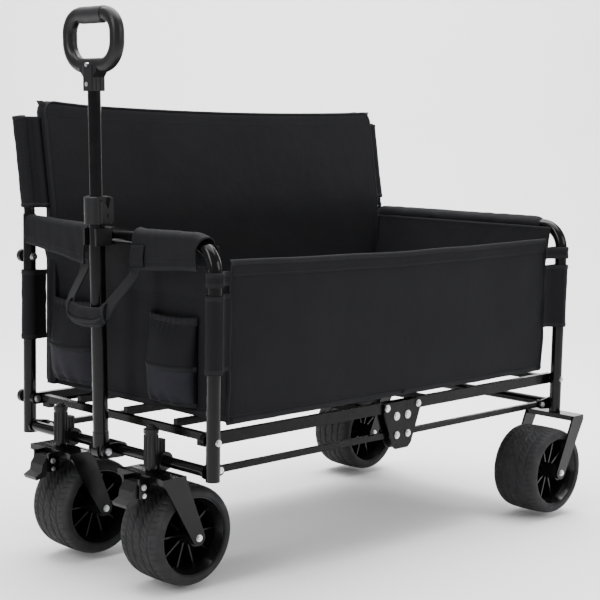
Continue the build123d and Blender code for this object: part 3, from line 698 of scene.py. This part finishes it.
def make_end_wall(end, post_x, inward, cover):
    """Hangs from beside the covered top tube, slopes in to the floor's end and drops."""
    hang = tube_r + cover + 3.0
    section = smooth_path([
        (hang, top_z - 2), (hang + 1.5, top_z - 16), (corner_inset - 8, 492), (corner_inset - 2, 462),
        (corner_inset - 1.5, 380), (corner_inset - 1.5, wall_low_z)], 60)
    drop = path_length(section)

    def point(u, v):
        y = end_low_y + u * end_width
        across, z = section[min(int(v * 59.999), 59)] if v >= 1 else (
            np.interp(v * 59, range(60), section[:, 0]), np.interp(v * 59, range(60), section[:, 1]))
        loose = sin(pi * u) ** 0.5
        belly = 3.0 * sin(pi * min(max((v - 0.3) / 0.7, 0), 1)) * loose
        slack = (2.0 * crease(post_x, y * 1.2, z, 120, 5.0) + 0.9 * crease(post_x, y, z * 0.7, 45, 8.0)) * loose
        return post_x + inward * (across - belly + slack), y, z

    wall = sheet_from(f"{end}_wall_cloth", point, 70, 60, (end_width, drop), cloth_uv, 1.6)
    line = [np.array(point(u, 0.985)) - (inward * 1.4, 0, 0) for u in np.linspace(0, 1, 50)]
    binding = sweep(f"{end}_wall_binding", line, oval(2.2, 5.0))
    sewn = [[np.array(point(u, v)) - (inward, 0, 0) for u in np.linspace(0.03, 0.97, 60)] for v in (0.34, 0.955)]
    sewn += [[np.array(point(u, v)) - (inward, 0, 0) for v in np.linspace(0.3, 0.95, 50)] for u in (0.03, 0.97)]
    seams = stitches(f"{end}_wall_stitching", sewn)
    sheet(wall, (end_width, drop), "hung", f"{end}_frame", with_pieces=[binding, seams])
    trim(f"{end}_frame", binding, seams)
    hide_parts(f"{end}_wall")


make_end_wall("front", front_x, 1, 3.0)
make_end_wall("rear", rear_x, -1, 7.0)

# ---- sleeves, straps and wings round the posts ----


def wrapped_section(centre, radius, reach_x, near_web, far_web, count=56):
    """A band that leaves the tub, goes round a post and comes back, in the plan's x and y."""
    cx, cy = centre
    inward = 1 if reach_x > cx else -1
    side = 1 if near_web > cy else -1
    start = (reach_x, near_web + side * 1.2)
    end = (reach_x, far_web - side * 1.2)
    turn = [(cx + inward * radius * cos(radians(a)), cy + side * radius * sin(radians(a)))
            for a in range(62, 299, 12)]
    blend_in = (cx + inward * (abs(reach_x - cx) * 0.62), near_web + side * 1.6)
    blend_out = (cx + inward * (abs(reach_x - cx) * 0.62), far_web - side * 1.4)
    return smooth_path([start, blend_in, *turn, blend_out, end], count)


def wrap_post(name, section, place, along, length, flare=1.0, seed=1.0, thickness=1.6, gather=1.0):
    """A cloth tube over a post: place(x, y, t) puts a section's point at t of its length."""
    size = (path_length(section), length)
    centre = section.mean(0)

    def point(u, v):
        x, y = (np.interp(u * (len(section) - 1), range(len(section)), section[:, k]) for k in (0, 1))
        out = np.array((x, y)) - centre
        out /= max(np.linalg.norm(out), 1e-6)
        wave = 0.8 * crease(x * 2, y * 2, v * length, 26, seed) + 0.5 * crease(x, y, v * length * 2.2, 30, seed + 4)
        open_end = flare * (exp(-v * length / 9) + exp(-(1 - v) * length / 9))
        x, y = np.array((x, y)) + out * (wave * gather + open_end)
        return place(x, y, v)

    return sheet_from(name, point, 64, along, size, cloth_uv, thickness), size, point


def hem_rings(name, point, levels, body):
    rings = []
    for index, v in enumerate(levels):
        line = [point(u, v) for u in np.linspace(0, 1, 70)]
        rings.append(sweep(f"{name}_{index}", line, oval(1.5, 4.0, 8)))
    trim(body, *rings)
    return rings


for end, post_x, inward in (("front", front_x, 1), ("rear", rear_x, -1)):
    body = f"{end}_frame"
    for side_name, side in (("near", -1), ("far", 1)):
        inset = corner_inset if side < 0 else (back_front_inset if inward > 0 else back_rear_inset)
        web = side * (half_width - 9)
        post = (post_x, side * half_width)
        tub = post_x + inward * (inset - 1.0)
        section = wrapped_section(post, tube_r + 2.2, tub, web, web)
        bands = [("sleeve", 366.0, 490.0, 26)]
        if side < 0:
            bands.append(("strap", 504.0, 524.0, 8))
        for kind, low, high, rows in bands:
            flare, levels = (0.6, (0.04, 0.96)) if kind == "sleeve" else (0.2, (0.12, 0.88))
            name = f"{end}_{side_name}_{kind}"
            wrap, size, point = wrap_post(
                name, section, lambda x, y, t, low=low, high=high: (x, y, low + t * (high - low)),
                rows, high - low, flare=flare, seed=post_x / 90 + side, gather=0.8)
            rings = hem_rings(f"{name}_hem", point, levels, body)
            sheet(wrap, size, "stretched", body, with_pieces=rings)
    rise = np.array((0, lean_out, extension_top_z - lean_start_z))
    foot_z = lean_start_z + 6

    def leaning(x, y, t, foot_z=foot_z):
        z = foot_z + t * (extension_top_z - 1 - foot_z)
        return x, y + lean_slope * (z - lean_start_z), z

    inset = back_front_inset if inward > 0 else back_rear_inset
    wing_section = wrapped_section((post_x, half_width), 12.6, post_x + inward * (inset + 1.0), 236, 227, 60)
    wing, size, point = wrap_post(f"{end}_wing", wing_section, leaning, 44, extension_top_z - foot_z, flare=0.8,
                                  seed=post_x / 70, gather=1.0)
    rings = hem_rings(f"{end}_wing_hem", point, (0.02, 0.98), body)
    seam_lines = [[point(u, v) for v in np.linspace(0.04, 0.96, 60)] for u in (0.12, 0.3, 0.7, 0.88)]
    middle_line = wing_section.mean(0)
    lifted = []
    for line in seam_lines:
        moved = []
        for x, y, z in line:
            out = np.array((x - middle_line[0], y - middle_line[1] - lean_slope * (z - lean_start_z)))
            out /= np.linalg.norm(out)
            moved.append((x + out[0] * 1.1, y + out[1] * 1.1, z))
        lifted.append(moved)
    wing_seams = stitches(f"{end}_wing_stitching", lifted)
    trim(body, wing_seams)
    sheet(wing, size, "stretched", body, with_pieces=[*rings, wing_seams])
    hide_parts(f"{end}_corner_sleeves")

# ---- flaps over the front top tube and the roll over the rear one ----
flap_r = tube_r + 2.6
flap_low_z = 517.0


def tube_at(y):
    """The height and slope of the front top tube's centre line at y, along its straight and its near bend."""
    bend_start, bend_radius = -half_width + 45.0, 45.0
    if y >= bend_start:
        return y, top_z, 0.0
    angle = min((bend_start - y) / bend_radius, 0.9)
    return bend_start - bend_radius * sin(angle), top_z - bend_radius * (1 - cos(angle)), angle


def make_flap(name, y_low, y_high, seed):
    inner = [(flap_r + 1.5, -37.0), (flap_r + 1.0, -19.0)]
    over = [(flap_r * cos(radians(a)), flap_r * sin(radians(a))) for a in range(0, 181, 20)]
    outer = [(-flap_r - 1.4, -17.0), (-flap_r - 2.6, -34.0), (-flap_r - 1.5, flap_low_z - top_z)]
    section = smooth_path(inner + over + outer, 70)
    width = y_high - y_low
    normals = np.gradient(section, axis=0)
    normals = np.stack([normals[:, 1], -normals[:, 0]], 1)
    normals /= np.linalg.norm(normals, axis=1, keepdims=True)

    def point(u, v):
        k = v * 69
        x, z = (np.interp(k, range(70), section[:, i]) for i in (0, 1))
        n = np.array([np.interp(k, range(70), normals[:, i]) for i in (0, 1)])
        y = y_low + u * width
        draw = 0.9 + 0.9 * crease(y * 0.8, v * 90, 0, 34, seed)
        draw += 0.7 * crease(y * 1.6 + v * 60, v * 40, 0, 26, seed + 2)
        draw += 1.6 * (exp(-u * width / 7) + exp(-(1 - u) * width / 7))
        x, z = np.array((x, z)) + n * max(draw, 0.1) * min(v * 5, 1)
        centre_y, centre_z, angle = tube_at(y)
        follow = min(max((z + 46) / 46, 0), 1)
        upper = max(z, -12.0)
        y += (centre_y - y) * follow - upper * sin(angle) * follow
        turned = upper * cos(angle)
        z = centre_z * follow + top_z * (1 - follow) + (z - upper) + turned + (upper - turned) * (1 - follow)
        lift = (13 * (1 - u) if y_low < 0 else 26 * u) * max(v - 0.3, 0) / 0.7
        return front_x + x, y, z + lift + 2.5 * crease(y, 0, 0, 50, seed) * max(v - 0.9, 0) * 10

    size = (width, path_length(section))
    flap = sheet_from(f"{name}_flap", point, 70, 70, size, cloth_uv, 2.4)
    hem = sweep(f"{name}_flap_hem", [point(u, 0.985) for u in np.linspace(0, 1, 50)], oval(2.2, 4.2))
    outward = np.array((-1.6, 0, 0))
    lines = [[np.array(point(u, 0.9)) + outward for u in np.linspace(0.04, 0.96, 50)]]
    for u in (0.05, 0.95):
        lines.append([np.array(point(u, v)) + outward for v in np.linspace(0.66, 0.96, 24)])
    seams = stitches(f"{name}_flap_stitching", lines, pitch=5.0)
    return flap, [hem, seams], size, point


for name, y_low, y_high, seed in (("near", -226.0, -64.0, 2.0), ("far", 61.0, half_width - tube_r - 1, 6.0)):
    flap, flap_trim, size, point = make_flap(name, y_low, y_high, seed)
    if name == "near":

        def tab_point(u, v, point=point):
            x, y, z = point(0.79 + 0.2 * u, 0.7 + 0.27 * v)
            return x - 2.6 - 1.2 * sin(pi * v), y, z

        tab = sheet_from("near_flap_tab", tab_point, 14, 14, (28, 32), cloth_uv, 1.6)
        tab_lines = [[np.array(tab_point(u, v)) + (-1.1, 0, 0) for u, v in
                      ((0.1, 0.1), (0.9, 0.1), (0.9, 0.9), (0.1, 0.9), (0.1, 0.1), (0.9, 0.9))]]
        flap_trim += [tab, stitches("near_flap_tab_stitching", tab_lines, pitch=4.0, length=2.8)]
    trim("front_frame", *flap_trim)
    sheet(flap, size, "folded", "front_frame", rests_on=["front_hoop"], with_pieces=flap_trim)
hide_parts("front_rail_cover")

roll_low_y, roll_high_y = -201.0, half_width - tube_r - 1


def make_roll():
    """A soft padded roll laced round the rear top tube."""
    around, along = 40, 90
    points, uvs = [], []
    length = roll_high_y - roll_low_y
    for row in range(along):
        v = row / (along - 1)
        y = roll_low_y + v * length
        tuck = 1 - 0.34 * (exp(-v * length / 5) + exp(-(1 - v) * length / 5))
        for column in range(around):
            a = 2 * pi * column / around
            flatten = 1 - 0.06 * cos(a - 0.6) ** 2
            ripple = 1.0 * crease(cos(a) * 20, y * 1.1, sin(a) * 20, 24, 3.0)
            ripple += 0.7 * crease(cos(a) * 20, y * 0.35, sin(a) * 20, 14, 9.0)
            radius = (roll_radius * flatten + ripple) * tuck
            points.append((rear_x + radius * cos(a), y, top_z + radius * sin(a)))
            uvs.append((a * roll_radius * MM, y * MM))
    return subdivide(add_mesh("rear_rail_roll", points, tube_faces(around, along), cloth_uv, uvs))


roll = make_roll()
cushion(roll, "rear_frame", "rear_rail_cover")
seam_y = np.linspace(roll_low_y + 8, roll_high_y - 8, 80)
roll_pipe = sweep("rear_roll_seam", [(rear_x - 16.6, y, top_z - 5 + 1.0 * crease(0, y, 0, 40, 1)) for y in seam_y],
                  oval(2.4, 2.4))
trim("rear_frame", roll_pipe)

# ---- pockets on the front wall ----
pocket_back_x = front_x + corner_inset - 5
pocket_top_z, pocket_low_z, pocket_belly = 442.0, 298.0, 30.0


def make_pocket(name, y_low, y_high, seed):
    width = y_high - y_low

    def point(u, v):
        y = y_low + u * width
        z = pocket_low_z + v * (pocket_top_z - pocket_low_z)
        across = max(sin(pi * u), 0) ** 0.45
        bulge = sin(pi * min(0.22 + 0.62 * (1 - v) ** 0.9, 1))
        depth = pocket_belly * across * (0.3 + 0.7 * bulge * min((1.02 - v) * 1.9, 1) * min(v * 7 + 0.25, 1))
        gathers = 1.5 * sin(2 * pi * 9 * u) * max(v - 0.55, 0) ** 1.3 * across
        low_pleats = 2.6 * sin(2 * pi * 3.5 * u + seed) * exp(-v * 7) * across
        slack = 2.0 * crease(0, y, z, 42, seed) * across
        z -= 3.5 * sin(pi * u) * v
        return pocket_back_x - 1.5 - depth - gathers - low_pleats - slack, y, z

    size = (width + 26, pocket_top_z - pocket_low_z)
    pocket = sheet_from(f"{name}_pocket", point, 60, 44, size, cloth_uv, 1.5)
    rim = sweep(f"{name}_pocket_binding", [point(u, 0.97) for u in np.linspace(0, 1, 60)], oval(2.0, 7.0))
    foot = sweep(f"{name}_pocket_foot", [point(u, 0.015) for u in np.linspace(0, 1, 60)], oval(2.0, 4.0))
    net = sheet_from(f"{name}_pocket_panel", lambda u, v: np.array(point(u, 0.03 + 0.4 * v)) - (1.6, 0, 0),
                     60, 20, (width + 26, 0.4 * size[1]), mesh_cloth, 0.8)
    band = sweep(f"{name}_pocket_band", [np.array(point(u, 0.43)) - (1.6, 0, 0) for u in np.linspace(0, 1, 60)],
                 oval(1.6, 4.0))
    lines = [[np.array(point(u, v)) - (3.4, 0, 0) for u in np.linspace(0.02, 0.98, 50)] for v in (0.93, 0.46)]
    seams = stitches(f"{name}_pocket_stitching", lines, pitch=5.0)
    extras = [rim, foot, net, band, seams]
    trim("front_frame", *extras)
    sheet(pocket, size, "gathered", "front_frame", with_pieces=extras)
    return pocket


pockets = [make_pocket("near", -166.0, -50.0, 1.0), make_pocket("far", 98.0, 220.0, 4.0)]
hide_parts("cup_pockets")

# ---- the carrying strap and its padded wrap ----
wrap_x = front_x - 59.0
strap_in = flap_r + 5.0
strap_path = smooth_path([
    (front_x - strap_in + 3, -76, 524), (front_x - strap_in, -70, 505), (wrap_x + 6, -56, 462),
    (wrap_x + 1, -40, 441), (wrap_x, 0, 436), (wrap_x + 1, 38, 440), (wrap_x + 6, 52, 460),
    (front_x - strap_in, 62, 505), (front_x - strap_in + 3, 63, 524)], 120)
strap_size = (24.0, path_length(strap_path))
strap = sweep("carry_strap_webbing", strap_path, flat_band(24.0, 2.6), webbing, up=(1, 0, 0))
strap_seams = []
for shift in (-9.5, 9.5):
    line = strap_path.copy()
    tangent = np.gradient(line, axis=0)
    across = np.cross(tangent, (1.0, 0, 0))
    across /= np.linalg.norm(across, axis=1, keepdims=True)
    strap_seams.append(line + across * shift - np.array((1.7, 0, 0)))
strap_stitches = stitches("carry_strap_stitching", strap_seams, pitch=5.0)
centre_run = strap_path[(np.abs(strap_path[:, 1]) < 50) & (strap_path[:, 2] < 452)]


def squared(value):
    """Pushes a circle's sine or cosine out towards a rounded square."""
    return copysign(abs(value) ** 0.75, value)


def make_wrap():
    """A padded sleeve closed round the middle of the strap."""
    line = smooth_path(centre_run[::4], 44)
    points, uvs = [], []
    around = 32
    for i, centre in enumerate(line):
        t = i / (len(line) - 1)
        end_pinch = 1 - 0.3 * (exp(-t * 22) + exp(-(1 - t) * 22))
        for k in range(around):
            a = 2 * pi * k / around
            soft = (cos(a) * 20, t * 100, sin(a) * 20)
            out = 7.5 * squared(cos(a)) * end_pinch + 0.8 * crease(*soft, 17, 3)
            rise = 16.5 * squared(sin(a)) * end_pinch + 0.8 * crease(*soft, 22, 6)
            points.append((centre[0] - out, centre[1], centre[2] + rise))
            uvs.append((k / around * 0.085, t * 0.11))
    return subdivide(add_mesh("carry_strap_wrap", points, tube_faces(around, len(line)), cloth_uv, uvs))


wrap = make_wrap()
wrap_line = smooth_path(centre_run[::4], 60)
wrap_flap = sweep("carry_strap_wrap_edge", [(x - 8.6, y, z - 6) for x, y, z in wrap_line[3:-3]], oval(2.4, 1.6, 8),
                  up=(1, 0, 0))
wrap_rings = [sweep(f"carry_strap_wrap_hem_{k}", [
    (wrap_line[i][0] - 6.9 * cos(a), wrap_line[i][1], wrap_line[i][2] + 15.2 * sin(a))
    for a in np.linspace(0, 2 * pi, 32, endpoint=False)], oval(1.8, 3.2, 8), up=(0, 1, 0), closed=True)
    for k, i in enumerate((2, 57))]
strap_all = [strap, strap_stitches, wrap, wrap_flap, *wrap_rings]
sheet(strap, strap_size, "hung", "front_frame", slot="webbing", with_pieces=[strap_stitches])
trim("front_frame", strap_stitches, slot="webbing")
trim("front_frame", wrap, wrap_flap, *wrap_rings)
for piece in strap_all:
    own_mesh(piece)
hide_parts("carry_strap")

# ---- floor pads ----


def make_floor_pad(end):
    low, high = box_mm(f"{end}_floor_pad")
    inset = 4.0
    x_low, x_high, y_low, y_high = low[0] + inset, high[0] - inset, low[1] + inset, high[1] - inset
    corner = 16.0
    layers = (low[2] + 1.5, low[2] + 5.0, high[2] - 5.5, high[2] - 3.0)
    outline = []
    for cx, cy, start in ((x_high - corner, y_high - corner, 0), (x_low + corner, y_high - corner, 90),
                          (x_low + corner, y_low + corner, 180), (x_high - corner, y_low + corner, 270)):
        outline += [(cx, cy, a) for a in np.radians(np.linspace(start, start + 90, 7))]
    points = []
    for z, grow in zip(layers, (-3.5, 0, 0, -3.5)):
        reach = corner + grow
        points += [(cx + reach * cos(a), cy + reach * sin(a), z) for cx, cy, a in outline]
    ring = len(outline)
    faces = grid_faces(ring, len(layers), ring=True)
    faces.append(tuple(reversed(range(ring))))
    faces.append(tuple(range((len(layers) - 1) * ring, len(layers) * ring)))
    pad = add_mesh(f"{end}_floor_cushion", points, faces, cloth_flat)
    even_mesh(pad)
    puff(pad, cap=5.0)
    seam_ys = (low[1] + (high[1] - low[1]) / 3, low[1] + (high[1] - low[1]) * 2 / 3)

    def settle(x, y, z):
        """Rests on the slats, with sewn channels and a soft surface."""
        upper = min(max((z - low[2] - 4) / 6, 0), 1)
        for seam in seam_ys:
            z -= 3.6 * exp(-((y - seam) / 7) ** 2) * upper
        z += 0.6 * crease(x, y, 0, 70, 4.0) * upper
        return x, y, min(max(z, low[2] + 0.2), high[2] + 6)

    reshape(pad, settle)
    subdivide(pad)
    edge = smooth_path([(cx + (corner + 1.5) * cos(a), cy + (corner + 1.5) * sin(a), high[2] - 5.5)
                        for cx, cy, a in outline], 220, closed=True)
    pipe = sweep(f"{end}_floor_piping", edge, oval(2.4, 2.4), closed=True)
    lines = [[(x, seam, high[2] - 5.2) for x in np.linspace(x_low + 8, x_high - 8, 60)] for seam in seam_ys]
    sewn = stitches(f"{end}_floor_stitching", lines)
    cushion(pad, f"floor_{end}", f"{end}_floor_pad")
    trim(f"floor_{end}", pipe, sewn)


make_floor_pad("front")
make_floor_pad("rear")

# ---- tyres with their tread ----


def band(value, low, high, soft=0.8):
    """1 between low and high, falling softly to 0 outside."""
    rise = min(max((value - low) / soft + 0.5, 0), 1)
    fall = min(max((high - value) / soft + 0.5, 0), 1)
    return rise * fall


def groove_depth(across, along):
    """How deep the tread is cut, in mm, at a place across the tyre and along its rolling line."""
    side = abs(across)
    depth = 0.0
    wander = 1.3 * sin(2 * pi * along / 22.1)
    for centre, half in ((0.0, 0.0), (9.5, 1.5), (26.5, 1.9)):
        if half:
            depth = max(depth, 2.6 * band(side + (wander if centre < 20 else 0), centre - half, centre + half))
    if side < 26:
        lean = along + across * 0.9 + (4 if across > 0 else 0)
        phase = lean % tread_pitch
        depth = max(depth, 1.5 * band(phase, 0, 1.9) * (1 if side > 9 else 0.8))
    elif side < 46:
        phase = (along + side * 0.18 + (5.5 if across > 0 else 0)) % tread_pitch
        depth = max(depth, 1.9 * band(phase, 0, 2.2) * band(side, 29.5, 44, 3))
    return depth


def make_tyre_mesh():
    half_profile = [(45.5, 65.4), (48.2, 66.0), (49.7, 68.0), (49.8, 71.5), (48.9, 75.4), (46.2, 79.2), (41.5, 81.9),
                    (35.5, 83.3), (26.0, 84.1), (13.0, 84.4)]
    outline = [(-across, radius) for across, radius in half_profile] + [(0, 84.5)] + half_profile[::-1]
    profile = smooth_path(outline, 112)
    inner = smooth_path([(45.5, 65.4), (0, 65.2), (-45.5, 65.4)], 8)[1:-1]
    ring = len(profile) + len(inner)
    around = 336
    points, faces = [], []
    for step in range(around):
        angle = 2 * pi * step / around
        along = angle * wheel_radius
        c, s = cos(angle), sin(angle)
        for across, radius in profile:
            cut = groove_depth(across, along) if radius > 74 else 0.0
            if 70.4 < radius < 71.6:
                cut = -0.5
            slope = 1 - 0.5 * min(max((abs(across) - 30) / 18, 0), 1)
            r = radius - cut * slope
            points.append((r * c, across - copysign(cut * (1 - slope), across), r * s))
        for across, radius in inner:
            points.append((radius * c, across, radius * s))
    for step in range(around):
        a, b = step * ring, ((step + 1) % around) * ring
        for k in range(ring):
            n = (k + 1) % ring
            faces.append((a + k, a + n, b + n, b + k))
    return add_mesh("front_near_tyre", points, faces, tyre_rubber)


first_tyre = make_tyre_mesh()
tyres = {}
for end in ("front", "rear"):
    for side in ("near", "far"):
        name = f"{end}_{side}_tyre"
        if end == "front" and side == "near":
            tyre = first_tyre
        else:
            tyre = first_tyre.copy()
            scene_objects.link(tyre)
            tyre.name = name
        tyre.location = Vector(middle(f"{end}_tyre_{side}")) * MM
        tyres[name] = tyre
bpy.context.view_layer.update()
for name, tyre in tyres.items():
    end, side = name.split("_")[:2]
    trim(f"{end}_wheel_{side}", tyre, slot="tyre")
    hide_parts(f"{end}_tyre_{side}")

# ---- studio and camera ----


def make_stage():
    """A pale floor that curves up into a backdrop behind the wagon."""
    paint = Shader("pale_backdrop", (0.86, 0.86, 0.86), 0.9, Specular_IOR_Level=0.1)
    paint.vary_colour(paint.noise(1.2), 0.995, 1.005)
    run = radians(45)
    ahead, beside = np.array((sin(run), cos(run), 0)), np.array((cos(run), -sin(run), 0))
    outline = [(-9000, 0), (-3000, 0), (2200, 0), (3000, 120), (3500, 600), (3700, 1400), (3750, 5200)]
    section = smooth_path(outline, 60)
    points = [ahead * s + beside * w + (0, 0, z) for s, z in section for w in np.linspace(-7000, 7000, 12)]
    add_mesh("studio_floor", points, grid_faces(12, 60), paint.material)


make_stage()


def area_light(name, place, target, size, power):
    light = bpy.data.lights.new(name, "AREA")
    light.shape = "RECTANGLE"
    light.size, light.size_y = size
    light.energy = power
    lamp = bpy.data.objects.new(name, light)
    scene_objects.link(lamp)
    lamp.location = place
    lamp.rotation_euler = (Vector(target) - Vector(place)).to_track_quat("-Z", "Y").to_euler()


area_light("overhead", (0.2, 0.3, 3.6), (0, 0, 0), (4.2, 4.2), 330)
area_light("key", (-3.4, -0.2, 2.3), (-0.2, 0, 0.45), (0.9, 2.6), 85)
area_light("side", (1.2, -3.4, 1.9), (0, 0, 0.35), (2.2, 1.4), 60)
area_light("backdrop", (0.6, 0.6, 2.9), (2.6, 2.6, 0.5), (3.0, 2.0), 160)
world = bpy.data.worlds.new("soft_studio")
world.use_nodes = True
world.node_tree.nodes["Background"].inputs["Color"].default_value = (1.0, 1.0, 1.0, 1)
world.node_tree.nodes["Background"].inputs["Strength"].default_value = 0.55
bpy.context.scene.world = world

camera_place = Vector((-1.9166, -1.9052, 0.7478))
camera_yaw, camera_pitch, camera_roll = (radians(a) for a in (45.227, -6.727, 1.108))
forward = Vector((sin(camera_yaw) * cos(camera_pitch), cos(camera_yaw) * cos(camera_pitch),
                  sin(camera_pitch)))
level = Vector((cos(camera_yaw), -sin(camera_yaw), 0))
upright = level.cross(forward)
right = level * cos(camera_roll) + upright * sin(camera_roll)
up = upright * cos(camera_roll) - level * sin(camera_roll)
camera_data = bpy.data.cameras.new("camera")
camera_data.lens, camera_data.sensor_width = 86.8, 36.0
camera_data.clip_end = 60.0
camera = bpy.data.objects.new("camera", camera_data)
camera.matrix_world = Matrix.Translation(camera_place) @ Matrix((right, up, -forward)).transposed().to_4x4()
scene_objects.link(camera)
bpy.context.scene.camera = camera
